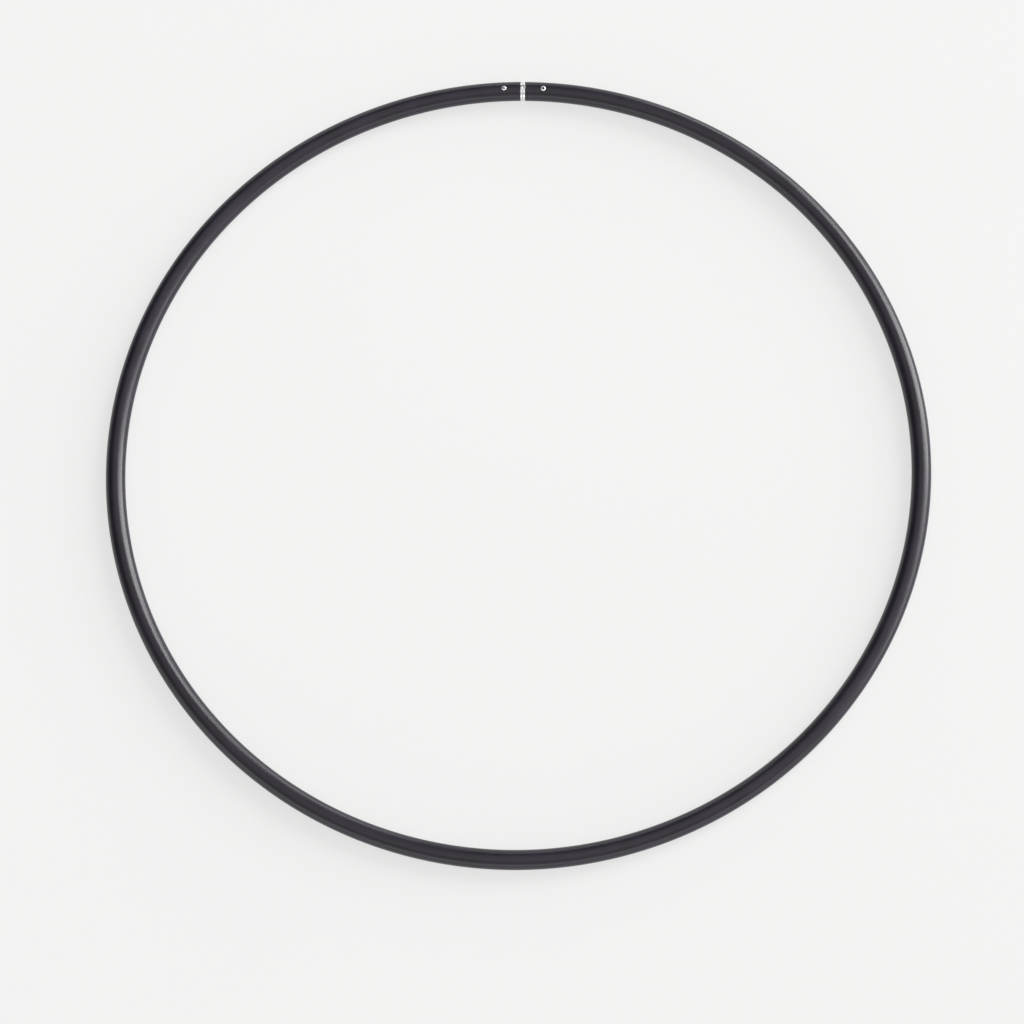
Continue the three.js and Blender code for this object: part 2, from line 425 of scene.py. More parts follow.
class Graph:
    """A node tree under construction."""

    def __init__(self, tree: bpy.types.NodeTree) -> None:
        """Empties the tree and starts on it."""
        self.tree = tree
        self.tree.nodes.clear()

    @staticmethod
    def _socket(sockets: Any, key: Key) -> bpy.types.NodeSocket:
        """Finds a socket.

        Args:
            sockets: A node's inputs or outputs.
            key: The socket's place, identifier or name.

        Returns:
            The socket.
        """
        if isinstance(key, int):
            return sockets[key]
        named = [socket for socket in sockets if socket.identifier == key]
        return named[0] if named else sockets[key]

    def node(
        self,
        kind: str,
        settings: Optional[Mapping[str, Any]] = None,
        sockets: Optional[Mapping[Key, Any]] = None,
        output: Key = 0,
    ) -> Signal:
        """Adds a node.

        Args:
            kind: Blender's name for the node's type.
            settings: Its properties, set before its sockets.
            sockets: Values or links for its inputs, by place, identifier or name.
            output: The output that is wanted.

        Returns:
            That output.
        """
        made = self.tree.nodes.new(kind)
        for key, setting in (settings or {}).items():
            setattr(made, key, setting)
        for key, value in (sockets or {}).items():
            socket = self._socket(made.inputs, key)
            if isinstance(value, Signal):
                self.tree.links.new(value.socket, socket)
            else:
                socket.default_value = (*value, 1) if socket.type == "RGBA" else value
        return Signal(self, self._socket(made.outputs, output) if made.outputs else None)

    def close(self, sockets: Mapping[Key, Any]) -> None:
        """Ends a material's tree with a Principled shader that has these values and links."""
        shader = self.node("ShaderNodeBsdfPrincipled", None, sockets)
        self.node("ShaderNodeOutputMaterial", None, {"Surface": shader})

    def math(self, operation: str, *values: Operand) -> Signal:
        """Values through one Math node."""
        return self.node("ShaderNodeMath", {"operation": operation}, dict(enumerate(values)))

    def vector(self, x: Operand, y: Operand, z: Operand) -> Signal:
        """Three values as one vector."""
        return self.node("ShaderNodeCombineXYZ", None, {0: x, 1: y, 2: z})

    def mix(self, share: Operand, first: Any, second: Any) -> Signal:
        """Blends two colours, with a share of the second from 0 to 1."""
        sockets = {"Factor_Float": share, "A_Color": first, "B_Color": second}
        return self.node("ShaderNodeMix", {"data_type": "RGBA"}, sockets, "Result_Color")

    def noise(self, point: Signal, scale: float, detail: float = 2.0, roughness: float = 0.5) -> Signal:
        """Soft blotches around 0.5, so many to a unit of length, with finer ones added so many times."""
        sockets = {"Vector": point, "Scale": scale, "Detail": detail, "Roughness": roughness}
        return self.node("ShaderNodeTexNoise", None, sockets)

    def streaks(self, point: Signal, slow_x: Operand, slow_y: Operand, detail: float = 2.0) -> Signal:
        """Blotches that stretch with two slow coordinates.

        Args:
            point: A vector whose Y and Z are the quick coordinates, and whose X is not used.
            slow_x: The first slow coordinate.
            slow_y: The second slow coordinate.
            detail: How many times finer blotches are added.

        Returns:
            A value around 0.5.
        """
        parts = [self.node("ShaderNodeSeparateXYZ", None, {0: point}, output) for output in (1, 2)]
        sockets = {"Vector": self.vector(slow_x, *parts), "W": slow_y, "Scale": 1.0, "Detail": detail}
        return self.node("ShaderNodeTexNoise", {"noise_dimensions": "4D"}, sockets)


@dataclass(frozen=True)
class Place:
    """Where a point of a surface is, as signals in metres.

    Attributes:
        point: The point in the frame.
        x: Its X.
        y: Its Y.
        out: How far it is outside the tube's axis, away from the ring's centre.
        up: How far it is above the tube's axis.
        along: How far it is along the tube from the seam.
    """

    point: Signal
    x: Signal
    y: Signal
    out: Signal
    up: Signal
    along: Signal

    @classmethod
    def on(cls, graph: Graph, space: RingSpace) -> Place:
        """The place of each point of a material's surface.

        Args:
            graph: The material's graph.
            space: The ring.

        Returns:
            The signals.
        """
        point = graph.node("ShaderNodeTexCoord", None, None, "Object")
        x, y, z = (graph.node("ShaderNodeSeparateXYZ", None, {0: point}, output) for output in range(3))
        radius = (x * x + y * y) ** 0.5
        along = graph.math("ARCTAN2", x, y) * space.ring_radius
        return cls(point, x, y, radius - space.ring_radius, z - space.tube_radius, along)

    def lengthwise(self, fineness: float, stretch: float, detail: float = 2.0) -> Signal:
        """Streaks that run along the tube, with no break anywhere round the ring.

        Args:
            fineness: Streaks to a metre round the tube.
            stretch: Changes to a metre along it.
            detail: How many times finer streaks are added.

        Returns:
            A value around 0.5.
        """
        graph = self.point.graph
        quick = graph.vector(0.0, self.out * fineness, self.up * fineness)
        return graph.streaks(quick, self.x * stretch, self.y * stretch, detail)

    def from_axis(self, centre: Vector) -> Signal:
        """How far each point is from an upright axis.

        Args:
            centre: A point on the axis.

        Returns:
            The distance.
        """
        across = self.x - centre.x
        beside = self.y - centre.y
        return (across * across + beside * beside) ** 0.5


def hairlines(noise: Signal, width: float) -> Signal:
    """Thin winding lines, 1 where a noise is within a width of its middle and 0 away from there."""
    return abs(noise - 0.5).rise(width, 0.0)


# ---------------------------------------------------------------- finishes


def shade(colour: Colour, share: float) -> Colour:
    """A colour times a share, with no channel over 1."""
    return tuple(min(1.0, share * channel) for channel in colour)


@dataclass(frozen=True)
class Finish:
    """What a finish has in common with the others.

    Attributes:
        name: The material's name.
        slot: The record's material slot. Not used.
        colour: The clean surface's colour.
        roughness: The clean surface's roughness.
        metallic: 1 for bare metal, 0 for plastic.
        depth: How deep its full relief is.
    """

    name: str
    slot: str
    colour: Colour
    roughness: float
    metallic: float = 0.0
    depth: float = 2e-6

    def surface(self, graph: Graph, place: Place) -> dict[str, Signal]:
        """The signals for the shader's sockets that vary, and "Height" for the relief."""
        raise NotImplementedError

    def constants(self) -> dict[str, float]:
        """The shader's values that are the same all over."""
        return {"Metallic": self.metallic}

    def make(self, space: RingSpace) -> bpy.types.Material:
        """Builds the material.

        Args:
            space: The ring.

        Returns:
            The material.
        """
        material = bpy.data.materials.new(self.name)
        material.use_nodes = True
        material.diffuse_color = (*self.colour, 1)
        graph = Graph(material.node_tree)
        sockets: dict[str, Any] = dict(self.constants())
        signals = self.surface(graph, Place.on(graph, space))
        relief = {"Strength": 1.0, "Distance": self.depth, "Height": signals.pop("Height")}
        sockets.update(signals, Normal=graph.node("ShaderNodeBump", None, relief))
        graph.close(sockets)
        return material


@dataclass(frozen=True)
class DrawnPlastic(Finish):
    """Satin black tube, drawn through a die and handled: faint lengthwise lines, mottling and scuffs.

    Attributes:
        scuffed: The colour of scuffed skin.
        tube_end: From the seam to the tube's cut end.
        edge_wear: How far from the cut end its pale edge reaches.
        rub_start: How far outside the tube's axis rubbing starts.
        rub_full: Where it is at its strongest.
    """

    scuffed: Colour = (0.055, 0.054, 0.06)
    tube_end: float = 2.35 * MM
    edge_wear: float = 0.45 * MM
    rub_start: float = 6.5 * MM
    rub_full: float = 9.8 * MM

    def surface(self, graph: Graph, place: Place) -> dict[str, Signal]:
        """The signals of a drawn and handled skin.

        Args:
            graph: The material's graph.
            place: Where each point of the surface is.

        Returns:
            A signal for each socket that varies, and "Height".
        """
        broad = place.lengthwise(fineness=420, stretch=3.5, detail=3)
        fine = place.lengthwise(fineness=2300, stretch=9, detail=2)
        mottle = graph.noise(place.point, 38, detail=4)
        grain = graph.noise(place.point, 3800, detail=1)

        handled = graph.noise(place.point, 16, detail=2).rise(0.5, 0.66)
        rubbed = place.out.rise(self.rub_start, self.rub_full) * 0.6 + handled * 0.7
        rolling = hairlines(place.lengthwise(fineness=900, stretch=26, detail=3), 0.008)
        crossing = hairlines(graph.noise(place.point, 120, detail=4, roughness=0.6), 0.0035)
        scuffs = (rolling + crossing) * rubbed
        cut_edge = abs(place.along).rise(self.tube_end + self.edge_wear, self.tube_end + 0.05 * MM)
        wear = graph.math("MINIMUM", scuffs * 0.12 + cut_edge * 0.6, 1.0)

        skin = graph.mix(mottle.rise(0.3, 0.7), shade(self.colour, 0.8), shade(self.colour, 1.25))
        roughness = self.roughness + (broad - 0.5) * 0.12 + (fine - 0.5) * 0.08 + (mottle - 0.5) * 0.1
        return {
            "Base Color": graph.mix(wear, skin, self.scuffed),
            "Roughness": roughness + wear * 0.08,
            "Height": broad * 1.6 + fine * 0.35 + grain * 0.15 - scuffs * 0.15,
        }


@dataclass(frozen=True)
class TurnedMetal(Finish):
    """A ferrule turned and polished on a lathe: rings round the tube, hairline scratches, a dark seam.

    Attributes:
        shade_and_grime: The colour of the dirt in the seam.
        seam: Half the seam's width.
    """

    shade_and_grime: Colour = (0.05, 0.048, 0.046)
    seam: float = 0.2 * MM

    def surface(self, graph: Graph, place: Place) -> dict[str, Signal]:
        """The signals of a turned and polished band.

        Args:
            graph: The material's graph.
            place: Where each point of the surface is.

        Returns:
            A signal for each socket that varies, and "Height".
        """
        quick = graph.vector(0.0, place.along * 5200, 0.0)
        rings = graph.streaks(quick, place.out * 60, place.up * 60, detail=3)
        smudges = graph.noise(place.point, 240, detail=3)
        scratches = hairlines(graph.noise(place.point, 700, detail=3, roughness=0.6), 0.006)
        shade_and_grime_mask = abs(place.along).rise(self.seam + 0.1 * MM, self.seam + 0.01 * MM)
        stained = smudges.rise(0.56, 0.78) * 0.08
        metal = graph.mix(stained + scratches * 0.15, self.colour, shade(self.colour, 0.62))
        return {
            "Base Color": graph.mix(shade_and_grime_mask * 0.9, metal, self.shade_and_grime),
            "Metallic": 1 - shade_and_grime_mask * 0.6,
            "Roughness": self.roughness + (rings - 0.5) * 0.16 + stained + shade_and_grime_mask * 0.3,
            "Height": rings * 0.6 - scratches * 0.4,
        }


@dataclass(frozen=True)
class MouldedNylon(Finish):
    """Grey nylon from a spark-eroded mould: fine texture, flow marks and the mould's parting line."""

    def surface(self, graph: Graph, place: Place) -> dict[str, Signal]:
        """The signals of a moulded skin.

        Args:
            graph: The material's graph.
            place: Where each point of the surface is.

        Returns:
            A signal for each socket that varies, and "Height".
        """
        texture = graph.noise(place.point, 2600, detail=2)
        flow = place.lengthwise(fineness=160, stretch=45, detail=4)
        parting = abs(place.up).rise(0.12 * MM, 0.02 * MM)
        pressed = hairlines(place.lengthwise(fineness=1300, stretch=14, detail=2), 0.01)
        pale = shade(self.colour, 1.3)
        skin = graph.mix(flow.rise(0.35, 0.7), self.colour, pale)
        return {
            "Base Color": graph.mix(pressed * 0.4 + parting * 0.3, skin, pale),
            "Roughness": self.roughness + (texture - 0.5) * 0.2 - pressed * 0.15,
            "Height": texture * 0.7 + parting * 1.5 - pressed * 0.8,
        }


@dataclass(frozen=True)
class UprightMetal(Finish):
    """A small turned metal piece that stands across the tube: rings round its axis, nicks, and painted shade
    with some dirt in its hole or dimple.

    Attributes:
        centre: A point on the piece's axis.
        hollow: The radius of the hole or dimple in its top, which is painted near black as its shade, with
            some dirt.
        nicks: How marked it is.
        shade_and_grime: The near-black colour painted in and around the hollow: painted shade, with some
            dirt.
        tarnish: How far the metal has dulled in blotches, from 0 to 1.
    """

    centre: Vector = Vector((0, 0, 0))
    hollow: float = 0.9 * MM
    nicks: float = 0.5
    # Near black: painted shade in the hollow, with some dirt.
    shade_and_grime: Colour = (0.012, 0.011, 0.011)
    tarnish: float = 0.3

    def surface(self, graph: Graph, place: Place) -> dict[str, Signal]:
        """The signals of a small turned piece.

        Args:
            graph: The material's graph.
            place: Where each point of the surface is.

        Returns:
            A signal for each socket that varies, and "Height".
        """
        radius = place.from_axis(self.centre)
        rings = graph.noise(graph.vector(radius * 7000, place.up * 7000, 0.0), 1, detail=2)
        blotches = graph.noise(place.point, 900, detail=3)
        scratches = hairlines(graph.noise(place.point, 1100, detail=3, roughness=0.65), 0.012)
        marks = scratches * self.nicks
        # Painted shade with some dirt: near black, not metallic and rough in and around the hole or dimple,
        # or at the middle of a piece with no hollow.
        shade_and_grime_mask = radius.rise(self.hollow + 0.28 * MM, self.hollow + 0.14 * MM)
        dull = blotches.rise(0.45, 0.75) * self.tarnish + marks * 0.4
        metal = graph.mix(dull, self.colour, shade(self.colour, 0.45))
        return {
            "Base Color": graph.mix(shade_and_grime_mask * 0.98, metal, self.shade_and_grime),
            "Metallic": 1 - shade_and_grime_mask,
            "Roughness": self.roughness + (rings - 0.5) * 0.2 + blotches * self.tarnish * 0.2 + shade_and_grime_mask * 0.4,
            "Height": rings * 0.8 + blotches * self.tarnish - marks,
        }


@dataclass(frozen=True)
class RolledStrip(Finish):
    """Spring steel strip: rolling lines along its length, and a faint straw tint from hardening.

    Attributes:
        tint: The colour where hardening has tinted it.
    """

    tint: Colour = (0.42, 0.33, 0.2)

    def surface(self, graph: Graph, place: Place) -> dict[str, Signal]:
        """The signals of rolled strip.

        Args:
            graph: The material's graph.
            place: Where each point of the surface is.

        Returns:
            A signal for each socket that varies, and "Height".
        """
        quick = graph.vector(0.0, place.out * 6000, 0.0)
        lines = graph.streaks(quick, place.along * 90, place.up * 90, detail=3)
        hardened = graph.noise(place.point, 130, detail=2).rise(0.42, 0.75)
        pits = graph.noise(place.point, 2400, detail=2).rise(0.62, 0.74)
        strip = graph.mix(hardened * 0.35, self.colour, self.tint)
        return {
            "Base Color": graph.mix(pits * 0.6, strip, shade(self.colour, 0.5)),
            "Roughness": self.roughness + (lines - 0.5) * 0.25 + pits * 0.2,
            "Height": lines - pits * 0.6,
        }


# ---------------------------------------------------------------- pieces


@dataclass(frozen=True)
class Outcome:
    """A finished piece and what it stands for.

    Attributes:
        piece: The piece.
        node: The frame's node that it replaces.
        finish: Its finish.
        body: What it moves with.
    """

    piece: bpy.types.Object
    node: str
    finish: Finish
    body: Body = Body.HOOP


@dataclass
class SubAssembly:
    """What every sub-assembly has: the ring that it sits on, and its finished pieces."""

    space: RingSpace

    def pieces(self) -> list[Outcome]:
        """Builds the meshes."""
        raise NotImplementedError

    def build(self) -> list[bpy.types.Object]:
        """Builds, dresses and hangs every piece on what it moves with.

        Returns:
            The pieces.
        """
        built = []
        for outcome in self.pieces():
            piece = outcome.piece
            piece.data.materials.clear()
            piece.data.materials.append(outcome.finish.make(self.space))
            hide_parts(outcome.node)
            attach(piece, outcome.body.value)
            log.info("%s: %d faces, %s", piece.name, len(piece.data.polygons), outcome.finish.name)
            built.append(piece)
        return built


@dataclass
class Tube(SubAssembly):
    """The bent plastic tube with its two cut ends and two fastener holes.

    Attributes:
        wall: The tube's wall.
        end: From the seam to each cut end.
        lip: How the cut ends' outer edges are rounded.
        sides: Flat sides round the tube.
        button_hole: The button hole's radius.
        rivet_hole: The rivet hole's radius.
        counterbore: The radius of the rivet's countersunk seat.
        seat: The seat's height above the tube's axis.
        deburr: How far the holes' edges are eased.
        eased: The arc where a hole's wall meets its eased edge.
        near_joint: How far from the seam the tube is split finely.
        fine_step: Its longest straight stretch there.
        coarse_step: Its longest straight stretch elsewhere.
    """

    wall: float = 2.25 * MM
    end: float = 2.35 * MM
    lip: float = 0.1 * MM
    sides: int = 64
    button_hole: float = 3.0 * MM
    rivet_hole: float = 1.9 * MM
    counterbore: float = 3.2 * MM
    seat: float = 9.0 * MM
    deburr: float = 0.18 * MM
    eased: float = 0.3 * MM
    near_joint: float = 36 * MM
    fine_step: float = 0.9 * MM
    coarse_step: float = 7 * MM

    def pieces(self) -> list[Outcome]:
        """Makes the tube.

        Returns:
            The tube.
        """
        black = (0.0098, 0.007, 0.0142)
        finish = DrawnPlastic("satin_black_plastic", "tube_plastic", black, roughness=0.31, depth=2.5e-6)
        return [Outcome(self._tube(), "hoop_tube", finish)]

    def _step(self, x: float) -> float:
        """How long a stretch of the tube may be: short near the joint, long elsewhere."""
        from_joint = min(x, self.space.length - x)
        return self.fine_step if from_joint < self.near_joint else self.coarse_step

    def _tube(self) -> bpy.types.Object:
        """Sweeps the wall round the ring and cuts the holes.

        Returns:
            The tube.
        """
        far = self.space.length - self.end
        outer = self.space.tube_radius
        bore = outer - self.wall
        inner_lip = self.lip / 2
        corners = [
            Corner(self.end, bore, inner_lip),
            Corner(self.end, outer, self.lip),
            Corner(far, outer, self.lip),
            Corner(far, bore, inner_lip),
        ]
        tube = sleeve("ring_tube", bendable(corners, self._step), self.sides, self.space)
        drill(tube, self._cutters())
        smooth(tube)
        self._true_normals(tube.data)
        return tube

    def _cutters(self) -> list[bpy.types.Object]:
        """The bodies that cut the button's hole, the rivet's hole and its seat.

        Returns:
            One cutter for each fastener.
        """
        skin = self.space.tube_radius
        beyond = 1 * MM
        clear = skin + beyond
        flare = self.deburr + beyond
        button = [
            Corner(0, 0),
            Corner(self.button_hole, 0),
            Corner(self.button_hole, skin - self.deburr, self.eased),
            Corner(self.button_hole + flare, clear),
            Corner(0, clear),
        ]
        rivet = [
            Corner(0, 0),
            Corner(self.rivet_hole, 0),
            Corner(self.rivet_hole, self.seat),
            Corner(self.counterbore, self.seat, 0.15 * MM),
            Corner(self.counterbore, skin - self.deburr, self.eased),
            Corner(self.counterbore + flare, clear),
            Corner(0, clear),
        ]
        shapes = ((button, "snap_button"), (rivet, "rivet_body"))
        return [upright("cutter", shape, False, self.space.along(node), self.space) for shape, node in shapes]

    def _true_normals(self, mesh: bpy.types.Mesh) -> None:
        """Gives the skin the normals of a true round tube, so that long reflections run clean.

        Args:
            mesh: The tube's mesh, already shaded smooth.
        """
        near_skin, facing_out = 0.02 * MM, 0.99
        normals = [Vector()] * len(mesh.loops)
        for face in mesh.polygons:
            for loop in face.loop_indices:
                away = self.space.outward(mesh.vertices[mesh.loops[loop].vertex_index].co)
                on_skin = abs(away.length - self.space.tube_radius) < near_skin
                if on_skin and face.normal.dot(away.normalized()) > facing_out:
                    normals[loop] = away.normalized()
        mesh.normals_split_custom_set(normals)


class Side(Enum):
    """The two ends that meet at the seam."""

    LEFT = -1
    RIGHT = 1


@dataclass
class Ferrules(SubAssembly):
    """The two flanged metal ferrules that face the seam.

    Attributes:
        face: From the seam's middle to each flange's face.
        flange: The flange's thickness.
        edge: How the flange's rim is rounded.
        outer: The sleeve's outer radius.
        bore: The sleeve's inner radius.
        tail: From the seam to the sleeve's inner end.
        sides: Flat sides round the tube.
        button_hole: The radius of the left ferrule's hole.
        rivet_hole: The radius of the right ferrule's hole.
    """

    face: float = 0.2 * MM
    flange: float = 2.1 * MM
    edge: float = 0.28 * MM
    outer: float = 7.45 * MM
    bore: float = 6.65 * MM
    tail: float = 32 * MM
    sides: int = 96
    button_hole: float = 3.0 * MM
    rivet_hole: float = 1.9 * MM

    def pieces(self) -> list[Outcome]:
        """Makes the two ferrules.

        Returns:
            The left and the right ferrule.
        """
        bright = (0.91, 0.91, 0.92)
        finish = TurnedMetal(
            "turned_bright_metal", "ferrule_metal", bright, roughness=0.28, metallic=1.0, depth=1.2e-6
        )
        return [
            Outcome(self._ferrule(Side.LEFT, "snap_button", self.button_hole), "left_end_ferrule", finish),
            Outcome(self._ferrule(Side.RIGHT, "rivet_body", self.rivet_hole), "right_end_ferrule", finish),
        ]

    def _ferrule(self, side: Side, fastener: str, hole: float) -> bpy.types.Object:
        """Turns one ferrule, bends it and drills it.

        Args:
            side: Which end it is for.
            fastener: The frame's name for what goes through it.
            hole: The hole's radius.

        Returns:
            The ferrule.
        """
        back = self.face + self.flange
        skin = self.space.tube_radius
        corners = [
            Corner(self.face, self.bore, 0.2 * MM),
            Corner(self.face, skin, self.edge),
            Corner(back, skin, 0.15 * MM),
            Corner(back, self.outer, 0.05 * MM),
            Corner(self.tail, self.outer, 0.25 * MM),
            Corner(self.tail, self.bore, 0.15 * MM),
        ]
        outline = bendable(corners, lambda x: BEND_STEP)
        placed = [Vector((side.value * point.x, point.y)) for point in outline]
        ferrule = sleeve(f"{side.name.lower()}_ferrule", placed, self.sides, self.space)
        drill(ferrule, [punch(hole, 0, skin, self.space.along(fastener), self.space)])
        smooth(ferrule)
        return ferrule


@dataclass
class Insert(SubAssembly):
    """The nylon sleeve that bridges the tube's two ends inside.

    Attributes:
        outer: Its outer radius.
        bore: Its inner radius.
        reach: How far it goes each way from the seam.
        chamfer: How far its noses taper.
        sides: Flat sides round the tube.
        button_hole: The button hole's radius.
        rivet_hole: The rivet hole's radius.
    """

    outer: float = 6.35 * MM
    bore: float = 4.65 * MM
    reach: float = 36 * MM
    chamfer: float = 0.8 * MM
    sides: int = 64
    button_hole: float = 2.8 * MM
    rivet_hole: float = 1.9 * MM

    def pieces(self) -> list[Outcome]:
        """Makes the insert.

        Returns:
            The insert.
        """
        grey = (0.1, 0.103, 0.11)
        finish = MouldedNylon("grey_moulded_nylon", "insert_plastic", grey, roughness=0.48, depth=8e-6)
        return [Outcome(self._insert(), "joint_insert", finish)]

    def _insert(self) -> bpy.types.Object:
        """Shapes the sleeve, bends it and drills it.

        Returns:
            The insert.
        """
        nose = self.reach - self.chamfer
        tapered = self.outer - self.chamfer
        right = [
            Corner(nose, self.outer, 0.5 * MM),
            Corner(self.reach, tapered, 0.2 * MM),
            Corner(self.reach, self.bore, 0.3 * MM),
        ]
        left = [Corner(-corner.x, corner.y, corner.fillet) for corner in reversed(right)]
        outline = bendable(right + left, lambda x: BEND_STEP)
        insert = sleeve("bridge_insert", outline, self.sides, self.space)
        skin = self.space.tube_radius
        holes = ((self.button_hole, "snap_button"), (self.rivet_hole, "rivet_body"))
        drill(insert, [punch(hole, 0, skin, self.space.along(node), self.space) for hole, node in holes])
        smooth(insert)
        return insert


@dataclass
class Rivet(SubAssembly):
    """The blind rivet: its flanged hollow body, and the stub of its mandrel.

    Attributes:
        flange: The flange's radius.
        seat: The flange's underside, above the tube's axis.
        top: The flange's crown.
        shank: The shank's radius.
        bore: The bore's radius.
        bulb: The radius of the bulb that grips the insert.
        bulb_top: Where the bulb meets the insert.
        bulb_flare: The height over which the tail widens into the bulb.
        bulb_taper: The height over which the bulb narrows again.
        rim: The height of the flange's upright rim.
        brow: How far in from the rim the dome's slope eases.
        brow_drop: How far below the crown that is.
        crown: How far in from the rim the flat crown starts.
        tail: The body's lower end.
        head: The mandrel head's radius.
        head_height: The mandrel head's height.
        head_gap: The gap between the head and the body's tail.
        head_foot: The radius of the head's flat bottom.
        head_flare: The height over which the head widens.
        stub: The mandrel shaft's radius.
        recess: How far the broken stub lies below the crown.
        neck: The height over which the shaft narrows to the break.
        cup: The broken end, as shares of the shaft's radius and depths below its rim.
        torn_depth: How far down from the break it is torn.
        tear: How far the break is torn up and down.
    """

    flange: float = 2.75 * MM
    seat: float = 9.04 * MM
    top: float = 10.2 * MM
    shank: float = 1.6 * MM
    bore: float = 1.05 * MM
    bulb: float = 2.3 * MM
    bulb_top: float = 4.05 * MM
    bulb_flare: float = 0.7 * MM
    bulb_taper: float = 0.5 * MM
    rim: float = 0.55 * MM
    brow: float = 0.55 * MM
    brow_drop: float = 0.12 * MM
    crown: float = 1.2 * MM
    tail: float = 2.0 * MM
    head: float = 1.5 * MM
    head_height: float = 1.5 * MM
    head_gap: float = 0.3 * MM
    head_foot: float = 0.9 * MM
    head_flare: float = 0.9 * MM
    stub: float = 0.75 * MM
    recess: float = 0.9 * MM
    neck: float = 0.5 * MM
    cup: tuple[tuple[float, float], ...] = ((0.55, 0.12 * MM), (0.3, 0.22 * MM), (0.0, 0.2 * MM))
    torn_depth: float = 0.3 * MM
    tear: float = 0.05 * MM

    def pieces(self) -> list[Outcome]:
        """Makes the rivet.

        Returns:
            The body and the mandrel.
        """
        centre = self.space.place(Vector((self.along, 0, 0)))
        soft = UprightMetal(
            "soft_aluminium", "rivet_aluminium", (0.91, 0.905, 0.9),
            roughness=0.32, metallic=1.0, depth=1.5e-6,
            centre=centre, hollow=self.bore, nicks=0.7, tarnish=0.25,
        )
        broken = UprightMetal(
            "broken_steel", "mandrel_steel", (0.07, 0.067, 0.065),
            roughness=0.55, metallic=1.0, depth=8e-6,
            centre=centre, hollow=0.0, nicks=0.9, tarnish=0.9,
        )
        return [
            Outcome(self._body(), "rivet_body", soft),
            Outcome(self._mandrel(), "rivet_mandrel", broken),
        ]

    @property
    def along(self) -> float:
        """The rivet's distance from the seam."""
        return self.space.along("rivet_body")

    def _body(self) -> bpy.types.Object:
        """Turns the body, with a domed flange above and a set bulb below.

        Returns:
            The body.
        """
        corners = [
            Corner(self.bore, self.tail, 0.08 * MM),
            Corner(self.shank, self.tail, 0.15 * MM),
            Corner(self.bulb, self.tail + self.bulb_flare, 0.5 * MM),
            Corner(self.bulb, self.bulb_top - self.bulb_taper, 0.4 * MM),
            Corner(self.shank, self.bulb_top, 0.1 * MM),
            Corner(self.shank, self.seat, 0.1 * MM),
            Corner(self.flange, self.seat, 0.05 * MM),
            Corner(self.flange, self.seat + self.rim, 0.22 * MM),
            Corner(self.flange - self.brow, self.top - self.brow_drop, 0.6 * MM),
            Corner(self.flange - self.crown, self.top, 1.0 * MM),
            Corner(self.bore, self.top, 0.14 * MM),
        ]
        body = upright("rivet_shell", corners, True, self.along, self.space)
        smooth(body)
        return body

    def _mandrel(self) -> bpy.types.Object:
        """Turns the mandrel and snaps off its shaft, which leaves a torn cup.

        Returns:
            The mandrel.
        """
        head_top = self.tail - self.head_gap
        bottom = head_top - self.head_height
        snapped = self.top - self.recess
        corners = [
            Corner(0, bottom),
            Corner(self.head_foot, bottom, 0.2 * MM),
            Corner(self.head, bottom + self.head_flare, 0.4 * MM),
            Corner(self.head, head_top, 0.12 * MM),
            Corner(self.stub, head_top, 0.05 * MM),
            Corner(self.stub, snapped - self.neck, 0.3 * MM),
            Corner(0.8 * self.stub, snapped - 0.05 * MM, 0.05 * MM),
        ]
        corners += [Corner(share * self.stub, snapped - depth) for share, depth in self.cup]
        mandrel = upright("mandrel_stub", corners, False, self.along, self.space, sides=48)
        torn = random.Random(7)
        torn_from = self.space.tube_radius + snapped - self.torn_depth
        for vertex in mandrel.data.vertices:
            if vertex.co.z > torn_from:
                vertex.co.z += torn.uniform(-self.tear, self.tear)
        smooth(mandrel)
        return mandrel


